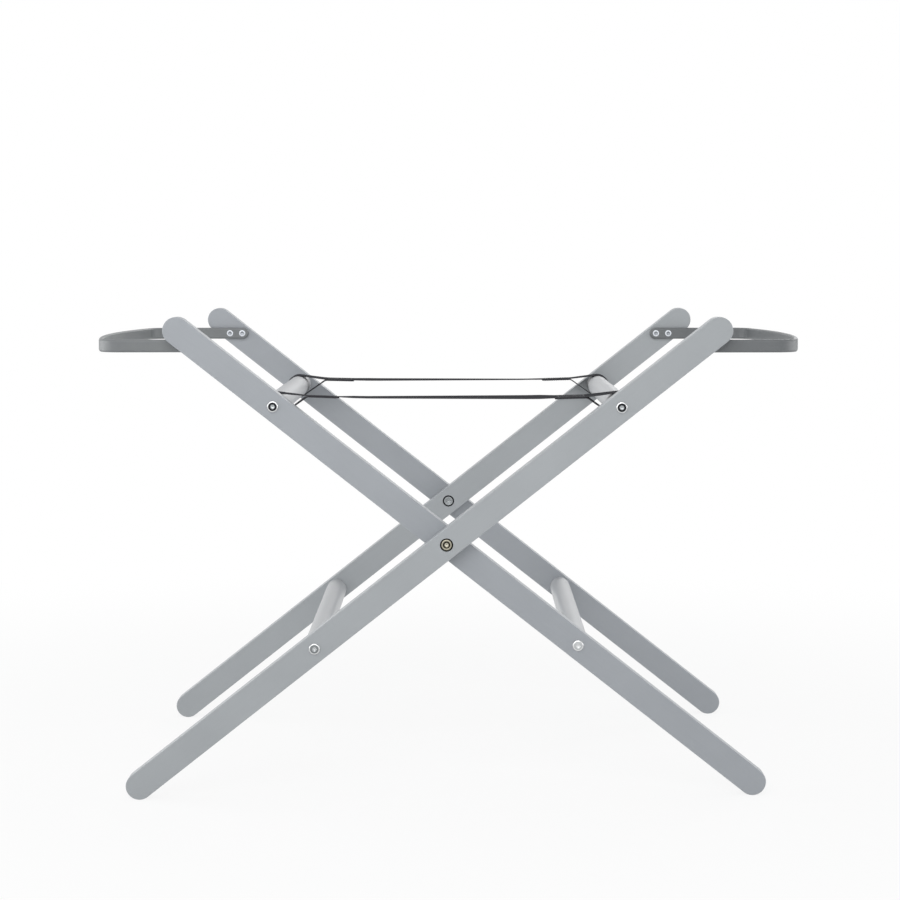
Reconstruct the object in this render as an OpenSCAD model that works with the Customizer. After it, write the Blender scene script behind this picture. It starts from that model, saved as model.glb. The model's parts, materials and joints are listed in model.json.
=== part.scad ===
// Folding scissor stand for a moses basket.
// Frame A leans to the right and frame B to the left. They cross at two pivots, and each has
// a front leg, a back leg, a lower and an upper dowel and an end rail.
// The stand is shown open, on the floor at z = 0, centred in X and Y, with its front facing -Y.

/* [Legs] */
// Width of a leg across its flat face
leg_width = 28.6; // [24:0.2:36]
// Thickness of a leg
leg_thickness = 18; // [15:0.5:24]
// Radius of a leg's rounded edges
leg_edge_radius = 0.8; // [0.4:0.1:3]
// Distance from the pivot to the centre of a leg's round foot
foot_reach = 412; // [330:1:480]
// Distance from the pivot to the centre of a leg's round top
top_reach = 358.5; // [310:0.5:420]
// Angle of an open leg to the floor, in degrees
leg_angle = 38.3; // [34:0.1:44]

/* [Frames] */
// Outer width of a frame over its front and back legs
frame_width = 428; // [360:1:500]
// Gap between two legs that cross, which holds a pivot washer
pivot_gap = 1; // [0.8:0.1:3]

/* [Dowels] */
// Diameter of a dowel
dowel_diameter = 24; // [20:0.5:26]
// Distance from the pivot to a lower dowel's axis, along the leg
lower_dowel_reach = 176; // [150:1:220]
// Distance from the pivot to an upper dowel's axis, along the leg
upper_dowel_reach = 231; // [200:1:260]

/* [End rails] */
// Height of a rail's flat band
rail_height = 13.5; // [11:0.5:16]
// Thickness of a rail's flat band
rail_thickness = 5; // [4.6:0.1:7]
// Radius of a rail's rounded edges
rail_edge_radius = 2.2; // [0.5:0.1:2.2]
// Outside radius of a rail's two bends
rail_bend_radius = 26; // [12:1:60]
// Outside radius of the bow of a rail's far end, between its two bends
rail_bow_radius = 930; // [700:10:2000]
// Distance from a leg's top centre down the leg to the rail's middle line
rail_drop = 26.5; // [20:0.5:40]
// Reach of the middle of a rail's far end beyond the leg's centre line
rail_overhang = 124; // [95:0.5:180]
// Length of a rail end past the leg's centre line, towards the middle of the stand
rail_tail = 15; // [13:0.5:18]

/* [Straps] */
// Width of the webbing
strap_width = 25; // [15:1:40]
// Thickness of the webbing
strap_thickness = 1.2; // [1:0.1:2.5]
// Gap between a strap and the leg beside it
strap_inset = 5; // [2:0.5:20]
// Distance from a dowel's axis to where its loop closes
loop_length = 33; // [26:0.5:45]
// Height of the webbing's straight run above the dowel axes
strap_rise = 6.8; // [0:0.2:10]
// Length of webbing sewn back on itself at each loop
sewn_length = 34; // [20:1:60]

/* [Dowel bolts] */
// Diameter of a dowel bolt's shank
bolt_diameter = 6; // [5:0.5:8]
// Diameter of a dowel bolt's round head
bolt_head_diameter = 12; // [10:0.5:16]
// Height of a dowel bolt's round head
bolt_head_height = 2.6; // [2:0.1:4]
// Width of the hexagon sockets across their flats
socket_width = 4; // [3:0.5:5]
// Depth of the hexagon sockets
socket_depth = 1.8; // [1:0.1:2]
// Outside diameter of the threaded insert in a dowel's end
insert_diameter = 10; // [9.5:0.5:12]
// Length of the threaded insert
insert_length = 15; // [10:1:25]

/* [Pivots] */
// Diameter of a pivot bolt's head and of its sleeve nut's head
pivot_head_diameter = 11.4; // [10.5:0.1:13]
// Height of those heads
pivot_head_height = 3.6; // [3:0.1:5]
// Depth that those heads lie below the leg's face
pivot_recess = 0.6; // [0.3:0.1:1.2]
// Diameter of the counterbores for those heads
counterbore_diameter = 14; // [13.5:0.1:16]
// Outside diameter of the sleeve nut, on which the leg turns
sleeve_diameter = 8; // [7.5:0.1:9]
// Diameter of a pivot bolt's shank, inside the sleeve
pivot_bolt_diameter = 6; // [4:0.1:6.2]
// Outside diameter of a pivot washer
washer_diameter = 20; // [16:0.5:24]

/* [Rail screws] */
// Diameter of a rail screw's shank
screw_diameter = 4; // [3:0.1:5]
// Diameter of a rail screw's countersunk head
screw_head_diameter = 7.6; // [6.5:0.1:9]
// Depth that a rail screw goes into the leg
screw_bite = 11; // [8:0.5:14]
// Distance between the two screws of a rail end
screw_spacing = 15; // [12:0.5:20]

/* [Clearances] */
// Radial clearance of the turning fit between sleeve and leg
running_fit = 0.05; // [0.02:0.01:0.1]
// Radial clearance round fixed bolts, inserts and screws
seat_fit = 0.05; // [0.02:0.01:0.1]
// End play between a pivot head and the leg that turns under it
end_play = 0.15; // [0.05:0.05:0.4]
// Gap between the webbing and the dowel inside a loop
loop_fit = 0.3; // [0.2:0.1:1]
// Gap left at the end of a bolt or sleeve so that it can be drawn tight
draw_gap = 1; // [0.5:0.1:2]

/* [Hidden] */
$fn = 96;
edge_fn = 32;
lacquer_grey = "#A6AAAD";
dowel_grey = "#C2C3C5";
rail_grey = "#8A8E8F";
webbing_black = "#2B2B2D";
nickel = "#C9C8C4";
bronze_nickel = "#9C9784";
zinc = "#AEB1B5";

frame_shift = leg_thickness + pivot_gap;
stand_depth = frame_width + frame_shift;
pivot_height = foot_reach * sin(leg_angle) + leg_width / 2;
leg_stack = 2 * leg_thickness + pivot_gap;
seat_depth = pivot_head_height + pivot_recess;
washer_thickness = pivot_gap - end_play;
dowel_length = frame_width - 2 * leg_thickness;
bolt_engagement = insert_length - draw_gap;
screw_head_height = (screw_head_diameter - screw_diameter) / 2;
rail_reach = top_reach - rail_drop;
rail_far_end = rail_reach * cos(leg_angle) + rail_overhang;
rail_bow_depth = rail_bow_radius - rail_bend_radius;
rail_bow_angle = asin((dowel_length / 2 - rail_bend_radius) / rail_bow_depth);
rail_bend_centre = rail_overhang - rail_bow_radius + rail_bow_depth * cos(rail_bow_angle);
dowel_spread = upper_dowel_reach * cos(leg_angle);
dowel_level = pivot_height + upper_dowel_reach * sin(leg_angle);
screw_places = [-screw_spacing / 2, screw_spacing / 2];
loop_radius = dowel_diameter / 2 + loop_fit;
tip_angle = atan2(strap_rise, loop_length);
tip_distance = norm([loop_length, strap_rise]);
bare_angle = acos((loop_radius + strap_thickness - loop_fit / 2) / tip_distance);
overlap_cut = 0.5;
rail_join_lap = 0.8;
rail_join_step = 0.05;
rail_far_angle = rail_bow_angle + rail_join_lap / rail_bow_radius * 180 / PI;

// Places

// Frame A or B, seen level: the pivot at the origin, X out towards the frame's own end rail,
// and Y from the outer face of its front leg
module in_frame(name) {
    shift = name == "b" ? frame_shift : 0;
    translate([0, shift - stand_depth / 2, pivot_height])
        mirror([name == "b" ? 1 : 0, 0, 0])
            children();
}

// The same frame with X turned up along its legs
module along_legs(name) {
    in_frame(name) rotate([0, -leg_angle, 0]) children();
}

// One end of a frame's dowels: Y runs from the leg's outer face towards the middle of the frame
module at_frame_side(side) {
    translate([0, side == "back" ? frame_width : 0, 0])
        mirror([0, side == "back" ? 1 : 0, 0])
            children();
}

// A pivot: Y runs from the outside of the stand inwards through the two legs
module at_pivot(side) {
    mirror([0, side == "back" ? 1 : 0, 0])
        translate([0, -stand_depth / 2, pivot_height])
            children();
}

// Shared shapes

// A round rod along Y
module rod(diameter, start, end) {
    translate([0, start, 0]) rotate([-90, 0, 0]) cylinder(d = diameter, h = end - start);
}

// A hexagon socket along Y
module socket_cut(start, end) {
    translate([0, start, 0])
        rotate([-90, 0, 0])
            cylinder(d = socket_width / cos(30), h = end - start, $fn = 6);
}

// The section of a flat bar with rounded edges, height up and thickness across
module bar_section(height, thickness, radius) {
    square([thickness, height - 2 * radius], center = true);
    square([thickness - 2 * radius, height], center = true);
    for (x = [-1, 1], y = [-1, 1])
        translate([x * (thickness / 2 - radius), y * (height / 2 - radius)])
            circle(r = radius, $fn = edge_fn);
}

// A straight flat bar along X, from start to end, with its thickness from Y = 0 inwards
module straight_bar(start, end, height, thickness, radius) {
    translate([start, thickness / 2, 0])
        rotate([90, 0, 90])
            linear_extrude(end - start)
                bar_section(height, thickness, radius);
}

// The round end of such a bar
module round_bar_end(height, thickness, radius) {
    translate([0, thickness / 2, 0])
        rotate([-90, 0, 0])
            rotate_extrude()
                intersection() {
                    rotate(90) bar_section(height, thickness, radius);
                    translate([0, -thickness]) square([height, 2 * thickness]);
                }
}

// Legs

// A leg along X with its outer face at Y = 0: the head of the pivot lies in the outer face
// or in the inner face, and the rail's screws go into the inner face
module leg(head_in_outer_face) {
    counterbore_start = head_in_outer_face ? -overlap_cut : leg_thickness - seat_depth;
    counterbore_end = head_in_outer_face ? seat_depth : leg_thickness + overlap_cut;
    difference() {
        union() {
            straight_bar(-foot_reach, top_reach, leg_width, leg_thickness, leg_edge_radius);
            for (x = [-foot_reach, top_reach])
                translate([x, 0, 0]) round_bar_end(leg_width, leg_thickness, leg_edge_radius);
        }
        rod(sleeve_diameter + 2 * running_fit, -overlap_cut, leg_thickness + overlap_cut);
        rod(counterbore_diameter, counterbore_start, counterbore_end);
        for (x = [-lower_dowel_reach, upper_dowel_reach])
            translate([x, 0, 0])
                rod(bolt_diameter + 2 * seat_fit, -overlap_cut, leg_thickness + overlap_cut);
        translate([rail_reach, 0, 0])
            rotate([0, leg_angle, 0])
                for (x = screw_places)
                    translate([x, 0, 0])
                        rod(screw_diameter + 2 * seat_fit, leg_thickness - screw_bite - draw_gap,
                            leg_thickness + overlap_cut);
    }
}

module leg_a_front() {
    color(lacquer_grey) along_legs("a") at_frame_side("front") leg(head_in_outer_face = true);
}

module leg_a_back() {
    color(lacquer_grey) along_legs("a") at_frame_side("back") leg(head_in_outer_face = false);
}

module leg_b_front() {
    color(lacquer_grey) along_legs("b") at_frame_side("front") leg(head_in_outer_face = false);
}

module leg_b_back() {
    color(lacquer_grey) along_legs("b") at_frame_side("back") leg(head_in_outer_face = true);
}

// Dowels

// A dowel along Y between a frame's two legs, bored at both ends for its inserts
module dowel() {
    difference() {
        rod(dowel_diameter, leg_thickness, leg_thickness + dowel_length);
        for (side = ["front", "back"])
            at_frame_side(side)
                rod(insert_diameter + 2 * seat_fit, leg_thickness - overlap_cut,
                    leg_thickness + insert_length);
    }
}

module lower_dowel(name) {
    color(dowel_grey) along_legs(name) translate([-lower_dowel_reach, 0, 0]) dowel();
}

module upper_dowel(name) {
    color(dowel_grey) along_legs(name) translate([upper_dowel_reach, 0, 0]) dowel();
}

// A frame's four dowel ends
module at_dowel_ends(name) {
    along_legs(name)
        for (side = ["front", "back"], x = [-lower_dowel_reach, upper_dowel_reach])
            at_frame_side(side) translate([x, 0, 0]) children();
}

// A bolt along Y with its domed head on the leg's outer face
module dowel_bolt() {
    dome_radius = (pow(bolt_head_diameter / 2, 2) + pow(bolt_head_height, 2)) / (2 * bolt_head_height);
    difference() {
        union() {
            intersection() {
                rod(bolt_head_diameter, -bolt_head_height, 0);
                translate([0, dome_radius - bolt_head_height, 0]) sphere(r = dome_radius);
            }
            rod(bolt_diameter, -overlap_cut, leg_thickness + bolt_engagement);
        }
        socket_cut(-bolt_head_height - overlap_cut, socket_depth - bolt_head_height);
    }
}

module dowel_bolts(name) {
    color(nickel) at_dowel_ends(name) dowel_bolt();
}

// A threaded insert, flush with the dowel's end
module dowel_insert() {
    difference() {
        rod(insert_diameter, leg_thickness, leg_thickness + insert_length);
        rod(bolt_diameter + 2 * seat_fit, leg_thickness - overlap_cut,
            leg_thickness + insert_length + overlap_cut);
    }
}

module dowel_inserts(name) {
    color(zinc) at_dowel_ends(name) dowel_insert();
}

// End rails

// Where a rail's two ends cross the legs: X along the rail, Y from the leg's inner face inwards
module at_rail_ends(name) {
    in_frame(name)
        for (side = ["front", "back"])
            at_frame_side(side)
                translate([rail_reach * cos(leg_angle), leg_thickness, rail_reach * sin(leg_angle)])
                    children();
}

// The rail's bar bent about Z to an outside radius, from an angle on through a turn, and slimmer
// all round by a hair where it runs into another
module bent_bar(radius, start, turn, slim = 0) {
    rotate([0, 0, start])
        rotate_extrude(angle = turn)
            translate([radius - rail_thickness / 2, 0])
                bar_section(rail_height - 2 * slim, rail_thickness - 2 * slim, rail_edge_radius - slim);
}

// One arm of a rail with its bend, which runs smoothly into the rail's far end
module rail_arm() {
    tail_centre = -rail_tail + rail_height / 2;
    straight_bar(tail_centre, rail_bend_centre, rail_height, rail_thickness, rail_edge_radius);
    translate([tail_centre, 0, 0]) round_bar_end(rail_height, rail_thickness, rail_edge_radius);
    translate([rail_bend_centre, rail_bend_radius, 0])
        bent_bar(rail_bend_radius, -90, 90 - rail_bow_angle);
}

// The hole of a screw through the rail, countersunk at 45 degrees
module screw_hole() {
    rod(screw_diameter + 2 * seat_fit, -overlap_cut, rail_thickness + overlap_cut);
    translate([0, rail_thickness - screw_head_height, 0])
        rotate([-90, 0, 0])
            cylinder(d1 = screw_diameter + 2 * seat_fit,
                     d2 = screw_head_diameter + 2 * (seat_fit + overlap_cut),
                     h = screw_head_height + overlap_cut);
}

module end_rail(name) {
    color(rail_grey)
        difference() {
            union() {
                at_rail_ends(name) rail_arm();
                in_frame(name)
                    translate([rail_far_end - rail_bow_radius, frame_width / 2, rail_reach * sin(leg_angle)])
                        bent_bar(rail_bow_radius, -rail_far_angle, 2 * rail_far_angle, rail_join_step);
            }
            at_rail_ends(name)
                for (x = screw_places) translate([x, 0, 0]) screw_hole();
        }
}

// A countersunk screw, flush in the rail and in the leg behind it
module rail_screw() {
    difference() {
        union() {
            rod(screw_diameter, -screw_bite, rail_thickness);
            translate([0, rail_thickness - screw_head_height, 0])
                rotate([-90, 0, 0])
                    cylinder(d1 = screw_diameter, d2 = screw_head_diameter, h = screw_head_height);
        }
        socket_cut(rail_thickness - socket_depth, rail_thickness + overlap_cut);
    }
}

module rail_screws(name) {
    color(zinc)
        at_rail_ends(name)
            for (x = screw_places) translate([x, 0, 0]) rail_screw();
}

// Pivots

// A pivot bolt, with its head at the outside. The back one has end play under its head,
// because the leg there turns on the sleeve.
module pivot_bolt(side) {
    head_seat = seat_depth - (side == "back" ? end_play : 0);
    shank_end = leg_stack - seat_depth - draw_gap;
    color(bronze_nickel)
        at_pivot(side)
            difference() {
                union() {
                    rod(pivot_head_diameter, head_seat - pivot_head_height, head_seat);
                    rod(pivot_bolt_diameter, head_seat - overlap_cut, shank_end);
                }
                socket_cut(head_seat - pivot_head_height - overlap_cut,
                           head_seat - pivot_head_height + socket_depth);
            }
}

// A sleeve nut, with its head at the inside of the stand. The front one has the end play.
module pivot_nut(side) {
    head_seat = leg_stack - seat_depth + (side == "front" ? end_play : 0);
    sleeve_end = seat_depth + draw_gap;
    color(nickel)
        at_pivot(side)
            difference() {
                union() {
                    rod(sleeve_diameter, sleeve_end, head_seat + overlap_cut);
                    rod(pivot_head_diameter, head_seat, head_seat + pivot_head_height);
                }
                rod(pivot_bolt_diameter + 2 * seat_fit, sleeve_end - overlap_cut, leg_stack - seat_depth);
                socket_cut(head_seat + pivot_head_height - socket_depth,
                           head_seat + pivot_head_height + overlap_cut);
            }
}

// The spacer washer of a pivot, against frame A's leg
module pivot_washer(side) {
    washer_start = side == "front" ? leg_thickness : leg_thickness + pivot_gap - washer_thickness;
    color(zinc)
        at_pivot(side)
            difference() {
                rod(washer_diameter, washer_start, washer_start + washer_thickness);
                rod(sleeve_diameter + 2 * seat_fit, washer_start - overlap_cut,
                    washer_start + washer_thickness + overlap_cut);
            }
}

// Straps

// A loop's filled outline round a dowel at the origin, drawn to a tip on the side of the run.
// Its straight sides start a little inside the bend, so that they cross it cleanly.
module loop_outline(radius) {
    side_radius = radius - loop_fit / 2;
    circle(r = radius);
    rotate(tip_angle)
        polygon([
            [0, 0],
            side_radius * [cos(bare_angle), -sin(bare_angle)],
            [side_radius / cos(bare_angle), 0],
            side_radius * [cos(bare_angle), sin(bare_angle)]
        ]);
}

// A strap seen from the front: two loops, the run between them and the webbing sewn back
module strap_outline() {
    half_run = dowel_spread - loop_length + strap_thickness;
    for (mirrored = [0, 1])
        mirror([mirrored, 0]) {
            translate([-dowel_spread, 0])
                difference() {
                    loop_outline(loop_radius + strap_thickness);
                    loop_outline(loop_radius);
                }
            translate([-half_run, strap_rise - strap_thickness])
                square([sewn_length, 2 * strap_thickness]);
        }
    translate([-half_run, strap_rise])
        square([2 * half_run, strap_thickness]);
}

module strap(side) {
    first_face = frame_shift + leg_thickness + strap_inset - stand_depth / 2;
    color(webbing_black)
        mirror([0, side == "back" ? 1 : 0, 0])
            translate([0, first_face + strap_width, dowel_level])
                rotate([90, 0, 0])
                    linear_extrude(strap_width)
                        strap_outline();
}

leg_a_front();
leg_a_back();
leg_b_front();
leg_b_back();
lower_dowel("a");  // lower_dowel_a
upper_dowel("a");  // upper_dowel_a
lower_dowel("b");  // lower_dowel_b
upper_dowel("b");  // upper_dowel_b
end_rail("a");  // end_rail_a
end_rail("b");  // end_rail_b
dowel_bolts("a");  // dowel_bolts_a
dowel_bolts("b");  // dowel_bolts_b
dowel_inserts("a");  // dowel_inserts_a
dowel_inserts("b");  // dowel_inserts_b
rail_screws("a");  // rail_screws_a
rail_screws("b");  // rail_screws_b
pivot_bolt("front");  // pivot_bolt_front
pivot_bolt("back");  // pivot_bolt_back
pivot_nut("front");  // pivot_nut_front
pivot_nut("back");  // pivot_nut_back
pivot_washer("front");  // pivot_washer_front
pivot_washer("back");  // pivot_washer_back
strap("front");  // strap_front
strap("back");  // strap_back
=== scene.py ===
import json
import math
from collections import namedtuple

import bmesh
import bpy
from mathutils import Matrix, Vector


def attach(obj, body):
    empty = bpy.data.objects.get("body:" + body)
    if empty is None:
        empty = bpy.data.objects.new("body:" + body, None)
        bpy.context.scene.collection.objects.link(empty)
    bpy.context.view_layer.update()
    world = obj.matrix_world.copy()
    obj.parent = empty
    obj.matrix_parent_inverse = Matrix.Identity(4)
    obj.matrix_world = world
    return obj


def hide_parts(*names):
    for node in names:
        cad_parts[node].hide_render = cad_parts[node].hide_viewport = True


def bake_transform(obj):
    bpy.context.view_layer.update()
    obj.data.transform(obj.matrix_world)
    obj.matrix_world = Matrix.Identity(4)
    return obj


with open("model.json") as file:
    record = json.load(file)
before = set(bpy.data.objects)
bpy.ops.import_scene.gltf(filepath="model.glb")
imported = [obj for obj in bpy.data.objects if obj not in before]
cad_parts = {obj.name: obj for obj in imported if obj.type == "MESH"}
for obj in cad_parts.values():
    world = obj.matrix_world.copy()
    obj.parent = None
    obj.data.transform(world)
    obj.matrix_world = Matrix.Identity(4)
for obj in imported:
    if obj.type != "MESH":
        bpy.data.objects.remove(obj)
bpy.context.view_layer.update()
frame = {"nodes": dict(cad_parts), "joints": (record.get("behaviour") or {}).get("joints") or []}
nodes = frame["nodes"]

# Sizes of the stand in metres, as the part's source has them
MM = 0.001
LEG_ANGLE = math.radians(38.3)
LOWER_DOWEL_REACH = 176 * MM
UPPER_DOWEL_REACH = 231 * MM
DOWEL_RADIUS = 12 * MM
RAIL_REACH = 332 * MM
RAIL_THICKNESS = 5 * MM
SCREW_SPACING = 15 * MM
STRAP_WIDTH = 25 * MM
STRAP_THICKNESS = 1.2 * MM
STRAP_RISE = 6.8 * MM
LOOP_LENGTH = 33 * MM
LOOP_FIT = 0.3 * MM
SEWN_LENGTH = 34 * MM

# The height of the pivots is that of the frame's hinge
PIVOT_HEIGHT = frame["joints"][0]["pos_m"][2]


def span_y(name):
    """The least and the greatest Y of one of the frame's nodes."""
    node = nodes[name]
    places = [(node.matrix_world @ Vector(corner)).y for corner in node.bound_box]
    return min(places), max(places)


def on_leg(name, reach):
    """The X and Z of a point on a frame's legs, at a distance from the pivot."""
    lean = 1 if name == "a" else -1
    return lean * reach * math.cos(LEG_ANGLE), PIVOT_HEIGHT + reach * math.sin(LEG_ANGLE)


def linked(name, data):
    """A new object in the scene that shows the given mesh, lamp or camera."""
    made = bpy.data.objects.new(name, data)
    bpy.context.scene.collection.objects.link(made)
    return made


def smooth_mesh(name, mesh, sharp):
    """A closed bmesh as mesh data, with its faces turned outwards. It is smooth, apart from edges that
    are sharper than the given angle in degrees."""
    bmesh.ops.recalc_face_normals(mesh, faces=mesh.faces)
    data = bpy.data.meshes.new(name)
    mesh.to_mesh(data)
    mesh.free()
    data.shade_smooth()
    data.set_sharp_from_angle(angle=math.radians(sharp))
    return data


# Materials


def linear(hex_colour):
    """An sRGB hex colour as linear RGBA."""
    channels = [int(hex_colour[i:i + 2], 16) / 255 for i in (1, 3, 5)]
    return [c / 12.92 if c <= 0.04045 else ((c + 0.055) / 1.055) ** 2.4 for c in channels] + [1.0]


def per_metre(size):
    """The scale of a pattern on Object coordinates that repeats after a size in millimetres."""
    return 1 / (size * MM)


def add(tree, kind, values=None, links=None, stops=(), **settings):
    """A node with its settings, its sockets' values and the sockets linked into it. A colour ramp takes
    stops of (place, hex colour), from left to right."""
    made = tree.nodes.new(kind)
    for name, value in settings.items():
        setattr(made, name, value)
    for socket, value in (values or {}).items():
        made.inputs[socket].default_value = value
    for socket, source in (links or {}).items():
        tree.links.new(source, made.inputs[socket])
    for i, (place, colour) in enumerate(stops):
        elements = made.color_ramp.elements
        stop = elements[i] if i < len(elements) else elements.new(place)
        stop.position = place
        stop.color = linear(colour)
    return made


# Where a colour mix takes its two colours
COLOUR_A, COLOUR_B = 6, 7


def new_material(name):
    """An empty node material with its output, as (material, tree, output)."""
    made = bpy.data.materials.new(name)
    made.use_nodes = True
    made.node_tree.nodes.clear()
    return made, made.node_tree, add(made.node_tree, "ShaderNodeOutputMaterial")


def satin_lacquer(name, turn, pale, deep, rubbed):
    """Sprayed satin lacquer on beech: an even grey coat with a little orange peel, in which the wood's
    long pores only just show, thinner and a touch paler where hands rub the rounded edges.
    turn brings X along the wood's grain."""
    made, tree, output = new_material(name)
    place = add(tree, "ShaderNodeTexCoord")
    turned = add(tree, "ShaderNodeMapping", {"Rotation": turn}, {"Vector": place.outputs["Object"]})
    along = {"Vector": turned.outputs["Vector"]}
    # Pores 0.7 mm wide and some 25 mm long, drawn a little coarser than real so that they show
    pore = (per_metre(25), per_metre(0.714), per_metre(0.714))
    pores = add(tree, "ShaderNodeMapping", {"Scale": pore}, along)
    grain = add(tree, "ShaderNodeTexNoise", {"Scale": 1.0, "Detail": 3.0, "Roughness": 0.55},
                {"Vector": pores.outputs["Vector"]})
    # Boards differ in tone over some 80 mm
    tone = add(tree, "ShaderNodeTexNoise", {"Scale": per_metre(83.3), "Detail": 2.0}, along)
    # Orange peel of the spray coat, 2.5 mm from crest to crest
    peel = add(tree, "ShaderNodeTexNoise", {"Scale": per_metre(2.5), "Detail": 1.5}, along)
    grain_share, tone_share = 0.35, 0.65
    mixed = add(tree, "ShaderNodeMath", {1: grain_share}, {0: grain.outputs["Fac"]}, operation="MULTIPLY")
    blend = add(tree, "ShaderNodeMath", {1: tone_share}, {0: tone.outputs["Fac"], 2: mixed.outputs[0]},
                operation="MULTIPLY_ADD")
    coat = add(tree, "ShaderNodeValToRGB", None, {"Fac": blend.outputs[0]}, stops=((0.3, deep), (0.7, pale)))
    # The rounded edges are where the normal stands between the faces and the sides
    normal = add(tree, "ShaderNodeSeparateXYZ", None, {"Vector": place.outputs["Normal"]})
    square = add(tree, "ShaderNodeMath", None, {0: normal.outputs["Y"], 1: normal.outputs["Y"]},
                 operation="MULTIPLY")
    rest = add(tree, "ShaderNodeMath", {0: 1.0}, {1: square.outputs[0]}, operation="SUBTRACT")
    edge = add(tree, "ShaderNodeMath", None, {0: square.outputs[0], 1: rest.outputs[0]},
               operation="MULTIPLY")
    # Hands rub in patches of some 18 mm
    patchy = add(tree, "ShaderNodeTexNoise", {"Scale": per_metre(18.2), "Detail": 4.0}, along)
    worn = add(tree, "ShaderNodeMath", None, {0: edge.outputs[0], 1: patchy.outputs["Fac"]},
               operation="MULTIPLY")
    wear_strength = 5.0
    wear = add(tree, "ShaderNodeMath", {1: wear_strength}, {0: worn.outputs[0]}, operation="MULTIPLY",
               use_clamp=True)
    colour = add(tree, "ShaderNodeMix", {COLOUR_B: linear(rubbed)},
                 {"Factor": wear.outputs[0], COLOUR_A: coat.outputs["Color"]}, data_type="RGBA")
    sheen = add(tree, "ShaderNodeMapRange", {"To Min": 0.36, "To Max": 0.5}, {"Value": tone.outputs["Fac"]})
    fine = add(tree, "ShaderNodeBump", {"Strength": 0.06, "Distance": 0.4 * MM},
               {"Height": grain.outputs["Fac"]})
    bump = add(tree, "ShaderNodeBump", {"Strength": 0.1, "Distance": 0.4 * MM},
               {"Height": peel.outputs["Fac"], "Normal": fine.outputs["Normal"]})
    shader = add(tree, "ShaderNodeBsdfPrincipled", {"IOR": 1.5, "Coat Weight": 0.15, "Coat Roughness": 0.25},
                 {"Base Color": colour.outputs["Result"], "Roughness": sheen.outputs["Result"],
                  "Normal": bump.outputs["Normal"]})
    tree.links.new(shader.outputs["BSDF"], output.inputs["Surface"])
    return made


def powder_coat(name, pale, deep):
    """Powder coat baked on flat steel: a satin grey skin with a fine even pebble, which differs a little
    in tone over some 40 mm."""
    made, tree, output = new_material(name)
    place = add(tree, "ShaderNodeTexCoord")
    everywhere = {"Vector": place.outputs["Object"]}
    # Pebble of 1.2 mm, drawn about twice as coarse as the powder leaves it so that it shows
    pebble = add(tree, "ShaderNodeTexNoise", {"Scale": per_metre(1.205), "Detail": 2.0}, everywhere)
    tone = add(tree, "ShaderNodeTexNoise", {"Scale": per_metre(40), "Detail": 3.0}, everywhere)
    coat = add(tree, "ShaderNodeValToRGB", None, {"Fac": tone.outputs["Fac"]},
               stops=((0.35, deep), (0.65, pale)))
    sheen = add(tree, "ShaderNodeMapRange", {"To Min": 0.4, "To Max": 0.52},
                {"Value": pebble.outputs["Fac"]})
    bump = add(tree, "ShaderNodeBump", {"Strength": 0.12, "Distance": 0.3 * MM},
               {"Height": pebble.outputs["Fac"]})
    shader = add(tree, "ShaderNodeBsdfPrincipled", {"IOR": 1.5},
                 {"Base Color": coat.outputs["Color"], "Roughness": sheen.outputs["Result"],
                  "Normal": bump.outputs["Normal"]})
    tree.links.new(shader.outputs["BSDF"], output.inputs["Surface"])
    return made


def plated_steel(name, bright, half_shade, dark, roughness):
    """Turned steel with a thin plate: fine rings round the axis and a duller bloom in patches. The attribute
    painted_shade of a fastener is painted shade, from 0 to 1. It is painted shade in its socket, under its
    head and on the flanges of the pivot's bolt and nut, and a painted reflection of a dark room on its
    dished face. The attribute painted_shade_strength tells how strong this painted shade and reflection are
    at each fastener. half_shade is the colour painted at part of the shade."""
    made, tree, output = new_material(name)
    place = add(tree, "ShaderNodeTexCoord")
    radius = add(tree, "ShaderNodeAttribute", attribute_name="turned")
    painted_shade = add(tree, "ShaderNodeAttribute", attribute_name="painted_shade")
    painted_shade_strength = add(tree, "ShaderNodeAttribute", attribute_name="painted_shade_strength")
    # Patches of bloom some 3 mm across
    bloom = add(tree, "ShaderNodeTexNoise", {"Scale": per_metre(2.86), "Detail": 3.0},
                {"Vector": place.outputs["Object"]})
    # Painted shade: a place's painted_shade times its strength
    deep = add(tree, "ShaderNodeMath", None, {0: painted_shade.outputs["Fac"], 1: painted_shade_strength.outputs["Fac"]},
               operation="MULTIPLY")
    bloom_share = 0.12
    shade = add(tree, "ShaderNodeMath", {1: bloom_share}, {0: bloom.outputs["Fac"], 2: deep.outputs[0]},
                operation="MULTIPLY_ADD")
    # The colour goes from bright through half_shade to dark with the painted shade, and a little with the
    # random bloom
    skin = add(tree, "ShaderNodeValToRGB", None, {"Fac": shade.outputs[0]},
               stops=((0, bright), (0.4, half_shade), (1, dark)))
    # Turning rings 0.4 mm apart, wider than a lathe leaves them so that they show
    ring_pitch = 0.4
    turns = add(tree, "ShaderNodeMath", {1: 2 * math.pi / ring_pitch}, {0: radius.outputs["Fac"]},
                operation="MULTIPLY")
    rings = add(tree, "ShaderNodeMath", None, {0: turns.outputs[0]}, operation="SINE")
    bump = add(tree, "ShaderNodeBump", {"Strength": 0.05, "Distance": 0.1 * MM},
               {"Height": rings.outputs[0]})
    bloom_roughness = 0.14
    sheen = add(tree, "ShaderNodeMapRange", {"To Min": roughness, "To Max": roughness + bloom_roughness},
                {"Value": bloom.outputs["Fac"]})
    shader = add(tree, "ShaderNodeBsdfPrincipled", {"Metallic": 1.0},
                 {"Base Color": skin.outputs["Color"], "Roughness": sheen.outputs["Result"],
                  "Normal": bump.outputs["Normal"]})
    tree.links.new(shader.outputs["BSDF"], output.inputs["Surface"])
    return made


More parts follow.
